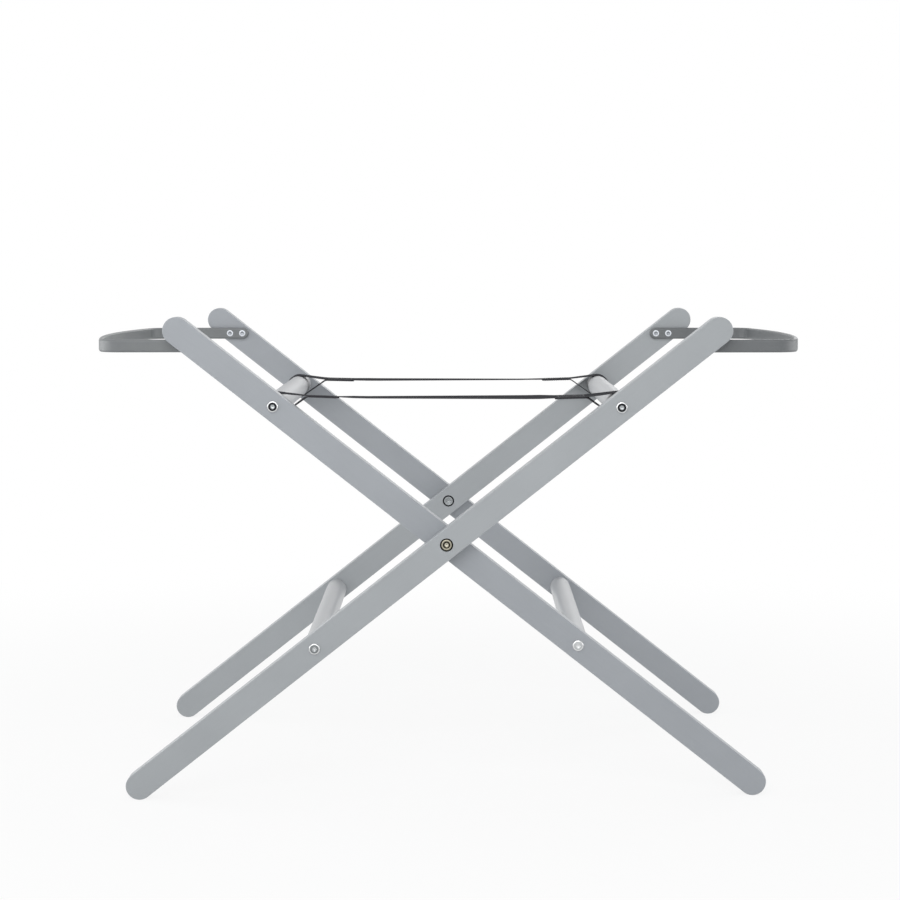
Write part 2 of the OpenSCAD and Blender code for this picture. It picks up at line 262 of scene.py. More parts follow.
def woven_webbing(name, crown, valley):
    """Woven polypropylene webbing: columns of round yarns that pass over and under the picks, dull and
    a little fuzzy. Its UV map is in millimetres, U along the strap and V across it."""
    made, tree, output = new_material(name)
    place = add(tree, "ShaderNodeUVMap", uv_map="webbing")
    spread = add(tree, "ShaderNodeSeparateXYZ", None, {"Vector": place.outputs["UV"]})
    # Yarn columns 1.25 mm apart, crossed by picks 1.8 mm apart that alternate from column to column
    yarn_pitch, pick_pitch = 1.25, 1.8
    column = add(tree, "ShaderNodeMath", {1: yarn_pitch}, {0: spread.outputs["Y"]}, operation="DIVIDE")
    number = add(tree, "ShaderNodeMath", None, {0: column.outputs[0]}, operation="FLOOR")
    across = add(tree, "ShaderNodeMath", {1: math.pi}, {0: column.outputs[0]}, operation="MULTIPLY")
    ridge = add(tree, "ShaderNodeMath", None, {0: across.outputs[0]}, operation="SINE")
    round_yarn = add(tree, "ShaderNodeMath", None, {0: ridge.outputs[0]}, operation="ABSOLUTE")
    pick = add(tree, "ShaderNodeMath", {1: math.pi / pick_pitch}, {0: spread.outputs["X"]},
               operation="MULTIPLY")
    shifted = add(tree, "ShaderNodeMath", {1: math.pi}, {0: number.outputs[0], 2: pick.outputs[0]},
                  operation="MULTIPLY_ADD")
    over = add(tree, "ShaderNodeMath", None, {0: shifted.outputs[0]}, operation="COSINE")
    # A yarn stands at 0.8 of its height on the whole and rises and falls by 0.2
    level, swing = 0.8, 0.2
    lifted = add(tree, "ShaderNodeMath", {1: swing, 2: level}, {0: over.outputs[0]},
                 operation="MULTIPLY_ADD")
    height = add(tree, "ShaderNodeMath", None, {0: round_yarn.outputs[0], 1: lifted.outputs[0]},
                 operation="MULTIPLY")
    # Fuzz of 0.45 mm
    fuzz_size, fuzz_share = 0.4545, 0.3
    fuzz = add(tree, "ShaderNodeTexNoise", {"Scale": 1 / fuzz_size, "Detail": 4.0},
               {"Vector": place.outputs["UV"]})
    # The valleys between the yarns are coloured darker than their crowns, painted shade; the fuzz adds a
    # random tone
    shade = add(tree, "ShaderNodeMath", {1: fuzz_share}, {0: fuzz.outputs["Fac"], 2: height.outputs[0]},
                operation="MULTIPLY_ADD")
    yarn = add(tree, "ShaderNodeValToRGB", None, {"Fac": shade.outputs[0]},
               stops=((0.15, valley), (1, crown)))
    bump = add(tree, "ShaderNodeBump", {"Strength": 0.15, "Distance": 0.4 * MM},
               {"Height": height.outputs[0]})
    shader = add(tree, "ShaderNodeBsdfPrincipled", {"Roughness": 0.9, "Specular IOR Level": 0.0},
                 {"Base Color": yarn.outputs["Color"], "Normal": bump.outputs["Normal"]})
    tree.links.new(shader.outputs["BSDF"], output.inputs["Surface"])
    return made


def sewing_thread(name, pale, deep):
    """Twisted polyester thread: plies 0.4 mm long and a soft gloss on the crest of each stitch."""
    made, tree, output = new_material(name)
    place = add(tree, "ShaderNodeTexCoord")
    ply = add(tree, "ShaderNodeTexNoise", {"Scale": per_metre(0.4), "Detail": 2.0},
              {"Vector": place.outputs["Object"]})
    colour = add(tree, "ShaderNodeValToRGB", None, {"Fac": ply.outputs["Fac"]},
                 stops=((0.3, deep), (0.7, pale)))
    bump = add(tree, "ShaderNodeBump", {"Strength": 0.3, "Distance": 0.1 * MM},
               {"Height": ply.outputs["Fac"]})
    shader = add(tree, "ShaderNodeBsdfPrincipled", {"Roughness": 0.45, "IOR": 1.55, "Sheen Weight": 0.2},
                 {"Base Color": colour.outputs["Color"], "Normal": bump.outputs["Normal"]})
    tree.links.new(shader.outputs["BSDF"], output.inputs["Surface"])
    return made


# The two frames differ a little in tone. The two rails share one grey, and the right one is coloured darker
# than the left as painted shade
leg_lacquers = {
    "a": satin_lacquer("satin_lacquer_leaning_right", (0, LEG_ANGLE, 0), "#A4A8AB", "#9DA1A4", "#B1B5B8"),
    "b": satin_lacquer("satin_lacquer_leaning_left", (0, -LEG_ANGLE, 0), "#A0A4A9", "#999DA2", "#ADB1B5"),
}
rail_coats = {
    "a": powder_coat("grey_powder_coat_right_rail_painted_shade", "#686B6D", "#626567"),
    "b": powder_coat("grey_powder_coat_left_rail", "#757879", "#6F7274"),
}
along_y = (0, 0, math.pi / 2)
dowel_lacquer = satin_lacquer("satin_lacquer_on_dowels", along_y, "#B2B4B6", "#ABADB0", "#B2B4B6")
bright_nickel = plated_steel("bright_nickel_plate", "#E2E3E3", "#9FA3A5", "#1E2023", 0.2)
warm_nickel = plated_steel("bronze_tinted_nickel", "#E3E0D0", "#9A9687", "#1A1914", 0.22)
zinc_plate = plated_steel("zinc_plate", "#C9CDD2", "#A4A8AE", "#2B2C2E", 0.28)
webbing = woven_webbing("black_polypropylene_webbing", "#545457", "#343437")
thread = sewing_thread("black_polyester_thread", "#4A4A4E", "#2C2C2F")

for name, node in nodes.items():
    finish = None
    if name.startswith("leg_"):
        finish = leg_lacquers[name.split("_")[1]]
    elif "_dowel_" in name:
        finish = dowel_lacquer
    elif name.startswith("end_rail"):
        finish = rail_coats[name.split("_")[2]]
    elif name.startswith(("dowel_inserts", "pivot_washer")):
        finish = zinc_plate
    if finish:
        node.data.materials.clear()
        node.data.materials.append(finish)


# Fasteners, whose sizes are in millimetres

SHANK_RADIUS = 3
SHANK_CHAMFER = 0.6
SOCKET_WIDTH = 4
SOCKET_DEPTH = 1.8
SOCKET_MOUTH = 0.3
DRILL_POINT = 0.3
EDGE = 0.1
TURNED_STEPS = 48

BOLT_REACH = 32
BOLT_HEAD_RADIUS = 5.8
BOLT_HEAD_HEIGHT = 2.1
BOLT_SHOULDER = 1.2
BOLT_RIM_RADIUS = 4.7

PIVOT_BOLT_REACH = 32.2
PIVOT_HEAD_RADIUS = 5.6
PIVOT_HEAD_HEIGHT = 3.6
PIVOT_SHOULDER = -0.6
PIVOT_RIM_RADIUS = 5
FLANGE_RADIUS = 6.7
FLANGE_TOP = -2.2
SLEEVE_RADIUS = 4
SLEEVE_REACH = 31.3
SLEEVE_BORE = 3.05
BORE_END = -4.4

SCREW_RADIUS = 2
SCREW_REACH = 16
SCREW_TAPER = 3.5
SCREW_HEAD_RADIUS = 3.75
SCREW_HEAD_HEIGHT = 1.8
SCREW_SOCKET_WIDTH = 3
SCREW_SOCKET_DEPTH = 1.6


def quarter_round(rim, head, shoulder, top, painted_shades):
    """Rings between the side of a head and its rim, one for each given painted shade."""
    rings = []
    for i, dark in enumerate(painted_shades, 1):
        turn = math.pi / 2 * i / (len(painted_shades) + 1)
        rings.append((rim + (head - rim) * math.cos(turn),
                      shoulder + (top - shoulder) * math.sin(turn), dark))
    return rings


def socket_rings(width, top, depth, dark, floor):
    """The rings of a hexagon socket with a rounded mouth and a drill point, as radius, height, painted shade
    and share of hexagon. dark is the painted shade at its mouth, floor that at its bottom."""
    corner = width / 2 / math.cos(math.pi / 6)
    bottom = top - depth
    return [
        (corner + SOCKET_MOUTH, top, dark, 0),
        (corner + SOCKET_MOUTH / 3, top - SOCKET_MOUTH / 3, 0.7 * dark, 0.6),
        (corner, top - SOCKET_MOUTH, 0.3 * dark, 1),
        (corner, bottom, floor + 0.3, 1),
        (corner * 0.85, bottom - 0.02, floor, 1),
        (corner * 0.4, bottom - DRILL_POINT / 2, floor, 0.3),
        (0, bottom - DRILL_POINT, floor + 0.3, 0),
    ]


def turned_piece(name, outside, socket):
    """A piece turned about Z, from the end of its shank over its head to the middle of its socket. outside
    holds rings of (radius, height, painted shade), and the socket's rings add a share of hexagon. A ring of
    radius 0 closes an end. The painted shade of each ring goes into the attribute painted_shade."""
    mesh = bmesh.new()
    turned = mesh.verts.layers.float.new("turned")
    painted_shade = mesh.verts.layers.float.new("painted_shade")
    sixth = math.pi / 3
    rows = []
    for radius, height, dark, hexagon in [ring + (0,) for ring in outside] + socket:
        row = []
        for i in range(TURNED_STEPS if radius else 1):
            angle = 2 * math.pi * i / TURNED_STEPS
            flat = math.cos(sixth / 2) / math.cos(angle % sixth - sixth / 2)
            reach = radius * (1 - hexagon + hexagon * flat)
            vert = mesh.verts.new(MM * Vector((reach * math.cos(angle), reach * math.sin(angle), height)))
            vert[turned] = reach
            vert[painted_shade] = dark
            row.append(vert)
        rows.append(row)
    for low, high in zip(rows, rows[1:]):
        for i in range(TURNED_STEPS):
            j = (i + 1) % TURNED_STEPS
            if len(low) == 1:
                mesh.faces.new((low[0], high[j], high[i]))
            elif len(high) == 1:
                mesh.faces.new((low[i], low[j], high[0]))
            else:
                mesh.faces.new((low[i], low[j], high[j], high[i]))
    return linked(name, smooth_mesh(name, mesh, sharp=35))


def fastener_tree():
    """Puts a fastener on each point, facing along the point's own direction and turned at random."""
    tree = bpy.data.node_groups.new("fasteners_on_points", "GeometryNodeTree")
    for name, kind in (("Points", "NodeSocketGeometry"), ("Fastener", "NodeSocketObject"),
                       ("Spin seed", "NodeSocketInt"), ("Finish", "NodeSocketMaterial")):
        tree.interface.new_socket(name, in_out="INPUT", socket_type=kind)
    tree.interface.new_socket("Fasteners", in_out="OUTPUT", socket_type="NodeSocketGeometry")
    given = add(tree, "NodeGroupInput")
    shape = add(tree, "GeometryNodeObjectInfo", None, {"Object": given.outputs["Fastener"]})
    facing = add(tree, "GeometryNodeInputNamedAttribute", {"Name": "facing"}, data_type="FLOAT_VECTOR")
    aligned = add(tree, "FunctionNodeAlignRotationToVector", None,
                  {"Vector": facing.outputs["Attribute"]}, axis="Z")
    spin = add(tree, "FunctionNodeRandomValue", None, {"Seed": given.outputs["Spin seed"]},
               data_type="FLOAT")
    full_turn = add(tree, "ShaderNodeMath", {1: 2 * math.pi}, {0: spin.outputs["Value"]},
                    operation="MULTIPLY")
    turn = add(tree, "FunctionNodeAxisAngleToRotation", {"Axis": (0, 0, 1)}, {"Angle": full_turn.outputs[0]})
    placed = add(tree, "FunctionNodeRotateRotation", None,
                 {"Rotation": aligned.outputs["Rotation"], "Rotate By": turn.outputs["Rotation"]},
                 rotation_space="LOCAL")
    copies = add(tree, "GeometryNodeInstanceOnPoints", None,
                 {"Points": given.outputs["Points"], "Instance": shape.outputs["Geometry"],
                  "Rotation": placed.outputs["Rotation"]})
    real = add(tree, "GeometryNodeRealizeInstances", None, {"Geometry": copies.outputs["Instances"]})
    finished = add(tree, "GeometryNodeSetMaterial", None,
                   {"Geometry": real.outputs["Geometry"], "Material": given.outputs["Finish"]})
    add(tree, "NodeGroupOutput", None, {"Fasteners": finished.outputs["Geometry"]})
    return tree


def grown(name, base, tree, inputs):
    """The plain mesh that a tree makes from a base mesh, as a new object. inputs go by socket name."""
    carrier = linked(name + "_base", base)
    modifier = carrier.modifiers.new("grow", "NODES")
    modifier.node_group = tree
    for socket in tree.interface.items_tree:
        if socket.in_out == "INPUT" and socket.name in inputs:
            modifier[socket.identifier] = inputs[socket.name]
    evaluated = carrier.evaluated_get(bpy.context.evaluated_depsgraph_get())
    data = bpy.data.meshes.new_from_object(evaluated)
    data.name = name
    carrier.modifiers.remove(modifier)
    bpy.data.objects.remove(carrier)
    return linked(name, data)


def facing_points(places):
    """A mesh of loose points with their facing and the strength of their painted shade, from triples of
    (point, direction, painted shade strength).
    """
    data = bpy.data.meshes.new("places")
    data.from_pydata([point for point, _, _ in places], [], [])
    data.attributes.new("facing", "FLOAT_VECTOR", "POINT")
    data.attributes.new("painted_shade_strength", "FLOAT", "POINT")
    for i, (_, direction, dark) in enumerate(places):
        data.attributes["facing"].data[i].vector = direction
        data.attributes["painted_shade_strength"].data[i].value = dark
    return data


def fit_fasteners(piece_name, node, body, places, kind, seed):
    """Sets a fastener of a kind on each place, for the plain solids of a node."""
    shape, finish, slot = kind
    piece = grown(piece_name, facing_points(places), fasteners,
                  {"Fastener": shape, "Spin seed": seed, "Finish": finish})
    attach(piece, body)
    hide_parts(node)


# A low button head with a bright rim and a dished face, which is painted darker as a painted reflection of a
# dark room in front of it
dowel_bolt = turned_piece("dowel_bolt", [
    (0, -BOLT_REACH, 0), (SHANK_RADIUS - SHANK_CHAMFER, -BOLT_REACH, 0),
    (SHANK_RADIUS, SHANK_CHAMFER - BOLT_REACH, 0), (SHANK_RADIUS, 0, 0.6),
    (BOLT_HEAD_RADIUS - EDGE, 0, 0.8), (BOLT_HEAD_RADIUS, EDGE, 0.5), (BOLT_HEAD_RADIUS, BOLT_SHOULDER, 0.1),
    *quarter_round(BOLT_RIM_RADIUS, BOLT_HEAD_RADIUS, BOLT_SHOULDER, BOLT_HEAD_HEIGHT, (0, 0, 0)),
    (BOLT_RIM_RADIUS, BOLT_HEAD_HEIGHT, 0.05), (BOLT_RIM_RADIUS - 0.2, BOLT_HEAD_HEIGHT, 0.75),
    (BOLT_RIM_RADIUS - 0.5, BOLT_HEAD_HEIGHT, 1), (2.8, BOLT_HEAD_HEIGHT + 0.1, 1),
], socket_rings(SOCKET_WIDTH, BOLT_HEAD_HEIGHT + 0.12, SOCKET_DEPTH, 0.9, 0.3))

# The heads of the pivot's bolt and nut lie in their counterbores, each with a flange below it that is
# painted dark all over, painted shade in the gap round the head
pivot_painted_shade_flange = [
    (FLANGE_RADIUS - EDGE, -PIVOT_HEAD_HEIGHT, 1), (FLANGE_RADIUS, EDGE - PIVOT_HEAD_HEIGHT, 1),
    (FLANGE_RADIUS, FLANGE_TOP - EDGE, 1), (FLANGE_RADIUS - EDGE, FLANGE_TOP, 1),
    (PIVOT_HEAD_RADIUS, FLANGE_TOP, 1), (PIVOT_HEAD_RADIUS, PIVOT_SHOULDER, 1),
]
# The bolt's rim is painted half shaded, painted shade in its counterbore, and its face is painted darker
# between rim and socket, a painted reflection of a dark room in front of it
pivot_bolt = turned_piece("pivot_bolt", [
    (0, -PIVOT_BOLT_REACH, 0), (SHANK_RADIUS - 0.5, -PIVOT_BOLT_REACH, 0),
    (SHANK_RADIUS, SHANK_CHAMFER - PIVOT_BOLT_REACH, 0), (SHANK_RADIUS, -PIVOT_HEAD_HEIGHT, 0.6),
    *pivot_painted_shade_flange,
    *quarter_round(PIVOT_RIM_RADIUS, PIVOT_HEAD_RADIUS, PIVOT_SHOULDER, 0, (0.6, 0.3)),
    (PIVOT_RIM_RADIUS, 0, 0.3), (PIVOT_RIM_RADIUS - 1, 0, 0.36),
    (3.8, -0.06, 0.8), (3.5, -0.15, 1), (2.9, -0.3, 1),
], socket_rings(SOCKET_WIDTH, -0.32, SOCKET_DEPTH, 0.9, 0.2))
# The nut's face is painted half shaded, painted shade where it lies in its counterbore
pivot_nut = turned_piece("pivot_nut", [
    (0, BORE_END, 0.6), (SLEEVE_BORE, BORE_END, 0.6), (SLEEVE_BORE, 0.3 - SLEEVE_REACH, 0.5),
    (3.3, -SLEEVE_REACH, 0), (3.8, -SLEEVE_REACH, 0), (SLEEVE_RADIUS, 0.2 - SLEEVE_REACH, 0),
    (SLEEVE_RADIUS, -PIVOT_HEAD_HEIGHT, 0.6),
    *pivot_painted_shade_flange,
    (5.5, -0.3, 0.6), (5.2, 0, 0.3), (4.1, 0, 0.36), (3.8, -0.06, 0.45), (2.9, -0.1, 0.45),
], socket_rings(SOCKET_WIDTH, -0.12, SOCKET_DEPTH, 0.55, 0.35))

# A countersunk head, level with the face it is driven into
rail_screw = turned_piece("rail_screw", [
    (0, -SCREW_REACH, 0), (0.4, 0.4 - SCREW_REACH, 0), (SCREW_RADIUS, SCREW_TAPER - SCREW_REACH, 0),
    (SCREW_RADIUS, -SCREW_HEAD_HEIGHT, 0), (SCREW_HEAD_RADIUS - 0.05, -0.1, 0.3),
    (SCREW_HEAD_RADIUS, -0.02, 0.1), (3.6, 0, 0), (2.4, 0, 0.1),
], socket_rings(SCREW_SOCKET_WIDTH, 0, SCREW_SOCKET_DEPTH, 0.8, 0.5))

fasteners = fastener_tree()
FRONT, BACK = Vector((0, -1, 0)), Vector((0, 1, 0))
# The seeds from which the sockets of each frame and of the pivots are turned
FRAME_SEEDS = {"a": 4, "b": 9}
PIVOT_SEED = 3
# How strong the painted shade is on each frame's lower and upper dowel bolts, most of it a painted
# reflection of a dark room on their dished faces
BOLT_PAINTED_SHADE = {"a": (0.6, 1.0), "b": (0.22, 1.0)}

for name, seed in FRAME_SEEDS.items():
    leg_faces = span_y("leg_" + name + "_front")[0], span_y("leg_" + name + "_back")[1]
    rail_front, rail_back = span_y("end_rail_" + name)
    rail_faces = rail_front + RAIL_THICKNESS, rail_back - RAIL_THICKNESS
    bolt_places, screw_places = [], []
    for outward, leg_face, rail_face in zip((FRONT, BACK), leg_faces, rail_faces):
        for reach, painted_shade_strength in zip((-LOWER_DOWEL_REACH, UPPER_DOWEL_REACH), BOLT_PAINTED_SHADE[name]):
            x, z = on_leg(name, reach)
            bolt_places.append(((x, leg_face, z), outward, painted_shade_strength))
        x, z = on_leg(name, RAIL_REACH)
        for offset in (-SCREW_SPACING / 2, SCREW_SPACING / 2):
            screw_places.append(((x + offset, rail_face, z), -outward, 1.0))
    fit_fasteners("dowel_bolt_set_" + name, "dowel_bolts_" + name, "frame_" + name, bolt_places,
                  (dowel_bolt, bright_nickel, "bright_nickel"), seed)
    fit_fasteners("rail_screw_set_" + name, "rail_screws_" + name, "frame_" + name, screw_places,
                  (rail_screw, zinc_plate, "zinc_plate"), seed)

for side, outward, outer in (("front", FRONT, 0), ("back", BACK, 1)):
    bolt_end = span_y("pivot_bolt_" + side)[outer]
    nut_end = span_y("pivot_nut_" + side)[1 - outer]
    fit_fasteners("pivot_bolt_head_" + side, "pivot_bolt_" + side, "frame_a",
                  [((0, bolt_end, PIVOT_HEIGHT), outward, 1.0)],
                  (pivot_bolt, warm_nickel, "warm_nickel"), PIVOT_SEED)
    fit_fasteners("pivot_sleeve_nut_" + side, "pivot_nut_" + side, "frame_a",
                  [((0, nut_end, PIVOT_HEIGHT), -outward, 1.0)],
                  (pivot_nut, bright_nickel, "bright_nickel"), PIVOT_SEED)

for shape in (dowel_bolt, pivot_bolt, pivot_nut, rail_screw):
    bpy.data.objects.remove(shape)


# Straps

DOWEL_X, DOWEL_Z = on_leg("a", UPPER_DOWEL_REACH)
LOOP_RADIUS = DOWEL_RADIUS + LOOP_FIT + STRAP_THICKNESS / 2
HALF_RUN = DOWEL_X - LOOP_LENGTH
# How the layers bend where they part, the lower and the upper one, and where the sewn part ends
UNDER_RADIUS, OVER_RADIUS, RUN_RADIUS = 6 * MM, 100 * MM, 300 * MM
# How far the run takes to settle to its level and to its own twist after the sewn part
RUN_EASE, TWIST_EASE = 30 * MM, 16 * MM
# How far inside the dowels' axes the webbing starts to follow both frames
SEAM_INSET = 3.5 * MM
STITCH_PITCH = 2.6 * MM
STITCH_LENGTH = 2.3 * MM
THREAD_DIAMETER = 0.5 * MM
# How finely the strap's line, its loops and its section are divided
BEND_STEP, LINE_STEP = 0.8 * MM, 1.5 * MM
LOOP_STEPS, FACE_STEPS, SELVEDGE_STEPS = 60, 10, 6
# A corner whose half angle is above this needs no rounding
NEARLY_STRAIGHT = math.radians(89.5)

# One end of a strap: how high its sewn part lies over the dowel's axis where the layers part and where it
# ends, and how far the sewn part and the run next to it are tilted, in degrees
StrapEnd = namedtuple("StrapEnd", "tip_rise sewn_rise sewn_tilt run_tilt")


def filleted(points, radii):
    """A polyline whose corners are rounded to the given radii, as close points."""
    line = [Vector(points[0])]
    for before, corner, after, radius in zip(points, points[1:], points[2:], radii):
        before, corner, after = Vector(before), Vector(corner), Vector(after)
        back, on = (before - corner).normalized(), (after - corner).normalized()
        half = back.angle(on) / 2
        if half > NEARLY_STRAIGHT:
            line.append(corner)
            continue
        cut = radius / math.tan(half)
        centre = corner + (back + on).normalized() * (radius / math.sin(half))
        start, end = corner + back * cut - centre, corner + on * cut - centre
        bend = start.angle_signed(end)
        turns = max(2, math.ceil(abs(bend) * radius / BEND_STEP))
        for i in range(turns + 1):
            a = -bend * i / turns
            line.append(centre + Vector((start.x * math.cos(a) - start.y * math.sin(a),
                                         start.x * math.sin(a) + start.y * math.cos(a))))
    line.append(Vector(points[-1]))
    return line


def spaced(line, step):
    """The line again with points about step apart."""
    along = [0.0]
    for a, b in zip(line, line[1:]):
        along.append(along[-1] + (b - a).length)
    count = math.ceil(along[-1] / step)
    made, k = [], 0
    for i in range(count + 1):
        s = along[-1] * i / count
        while k < len(line) - 2 and along[k + 1] < s:
            k += 1
        gap = along[k + 1] - along[k]
        share = (s - along[k]) / gap if gap else 0
        made.append(line[k].lerp(line[k + 1], min(max(share, 0), 1)))
    return made


def loop_touch(point, side):
    """The angle at which a line from the point touches the loop round a dowel at the origin."""
    return math.atan2(point.y, point.x) + side * math.acos(LOOP_RADIUS / point.length)


def half_line(strap_end):
    """Half of a strap's middle line, from the cut end under the run, out and round the right dowel and
    back to the run, seen from the front with the dowel's axis at the origin. The sewn part rises from
    the run to where the two layers part."""
    half = STRAP_THICKNESS / 2
    run_x, tip_x = -LOOP_LENGTH - SEWN_LENGTH, -LOOP_LENGTH
    under = Vector((tip_x, strap_end.tip_rise - half))
    over = Vector((tip_x, strap_end.tip_rise + half))
    low = loop_touch(under, 1) % (2 * math.pi)
    around = (loop_touch(over, -1) - low) % (2 * math.pi)
    arc = []
    for i in range(LOOP_STEPS + 1):
        angle = low + around * i / LOOP_STEPS
        arc.append(LOOP_RADIUS * Vector((math.cos(angle), math.sin(angle))))
    lap = filleted([(run_x, strap_end.sewn_rise - half), under, arc[0]], [UNDER_RADIUS])
    run_level = STRAP_RISE + half
    rest = filleted([arc[-1], over, (run_x, strap_end.sewn_rise + half), (run_x - RUN_EASE, run_level),
                     (-DOWEL_X, run_level)], [OVER_RADIUS, RUN_RADIUS, RUN_RADIUS])
    return lap[:-1] + arc + rest[1:-1]


def strap_line(left, right):
    """A whole strap's middle line from the left cut end to the right one, as points (x, z)."""
    start = [Vector((-p.x - DOWEL_X, p.y)) for p in half_line(left)]
    end = [Vector((p.x + DOWEL_X, p.y)) for p in half_line(right)]
    return spaced(start + end[::-1], LINE_STEP)


def tilt_at(x, left, right):
    """How far a strap is turned about its own length at x, in radians: none where it lies on the dowels,
    one tilt along each sewn part and an even twist along the run between them."""
    sewn_end = HALF_RUN - SEWN_LENGTH
    known = [
        (-DOWEL_X, 0), (-HALF_RUN, left.sewn_tilt), (-sewn_end, left.sewn_tilt),
        (TWIST_EASE - sewn_end, left.run_tilt), (sewn_end - TWIST_EASE, right.run_tilt),
        (sewn_end, right.sewn_tilt), (HALF_RUN, right.sewn_tilt), (DOWEL_X, 0),
    ]
    for (x0, tilt0), (x1, tilt1) in zip(known, known[1:]):
        if x0 <= x <= x1:
            return math.radians(tilt0 + (tilt1 - tilt0) * (x - x0) / (x1 - x0))
    return 0.0


def strap_section():
    """The webbing's outline across its length, with flat faces and round selvedges, as (across, over)."""
    depth = STRAP_THICKNESS / 2
    flat = STRAP_WIDTH / 2 - depth
    outline = []
    for side in (1, -1):
        for i in range(FACE_STEPS + 1):
            outline.append((side * flat * (2 * i / FACE_STEPS - 1), side * depth))
        for i in range(1, SELVEDGE_STEPS):
            angle = math.pi / 2 - math.pi * i / SELVEDGE_STEPS
            outline.append((side * (flat + depth * math.cos(angle)), side * depth * math.sin(angle)))
    return outline


def strap_band(name, middle, left, right):
    """A strap of webbing as one closed band along its line, with a UV map in mm, and its length."""
    line = strap_line(left, right)
    section = strap_section()
    count = len(section)
    mesh = bmesh.new()
    uv = mesh.loops.layers.uv.new("webbing")
    rows, lengths, run = [], [], 0.0
    for i, point in enumerate(line):
        run += (point - line[i - 1]).length if i else 0.0
        ahead = (line[min(i + 1, len(line) - 1)] - line[max(i - 1, 0)]).normalized()
        up = Vector((-ahead.y, ahead.x))
        tilt = tilt_at(point.x, left, right) * (1 if up.y > 0 else -1)
        row = []
        for across, over in section:
            y = across * math.cos(tilt) - over * math.sin(tilt)
            lift = over * math.cos(tilt) + across * math.sin(tilt)
            row.append(mesh.verts.new((point.x + up.x * lift, middle + y, DOWEL_Z + point.y + up.y * lift)))
        rows.append(row)
        lengths.append(run / MM)
    sides = [0.0]
    for i in range(count):
        sides.append(sides[-1] + math.dist(section[i], section[(i + 1) % count]) / MM)
    for i in range(len(rows) - 1):
        for k in range(count):
            n = (k + 1) % count
            face = mesh.faces.new((rows[i][k], rows[i + 1][k], rows[i + 1][n], rows[i][n]))
            for loop, (u, v) in zip(face.loops, ((i, k), (i + 1, k), (i + 1, k + 1), (i, k + 1))):
                loop[uv].uv = (lengths[u], sides[v])
    for row in (rows[0], rows[-1]):
        cap = mesh.faces.new(row)
        for loop in cap.loops:
            loop[uv].uv = (0, 0)
    data = smooth_mesh(name, mesh, sharp=50)
    data.materials.append(webbing)
    return linked(name, data), run


def seam_mesh(middle, left, right):
    """The box and cross sewn at each end of a strap, on its upper and its lower face."""
    points, edges, facings = [], [], []
    front, back = -STRAP_WIDTH / 2 + SEAM_INSET, STRAP_WIDTH / 2 - SEAM_INSET
    near, far = HALF_RUN - SEAM_INSET, HALF_RUN - SEWN_LENGTH + SEAM_INSET
    box = [(near, front), (far, front), (far, back), (near, back)]
    for lean, strap_end in ((-1, left), (1, right)):
        for direction in (1, -1):
            for a, b in ((0, 1), (1, 2), (2, 3), (3, 0), (0, 2), (1, 3)):
                for out, across in (box[a], box[b]):
                    sewn = (HALF_RUN - out) / SEWN_LENGTH
                    lap = strap_end.tip_rise + (strap_end.sewn_rise - strap_end.tip_rise) * sewn
                    tilt = tilt_at(lean * out, left, right)
                    points.append((lean * out, middle + across * math.cos(tilt),
                                   DOWEL_Z + lap + direction * STRAP_THICKNESS + across * math.sin(tilt)))
                    facings.append((0, -direction * math.sin(tilt), direction * math.cos(tilt)))
                edges.append((len(points) - 2, len(points) - 1))
    data = bpy.data.meshes.new("seams")
    data.from_pydata(points, edges, [])
    facing = data.attributes.new("facing", "FLOAT_VECTOR", "POINT")
    for i, direction in enumerate(facings):
        facing.data[i].vector = direction
    return data


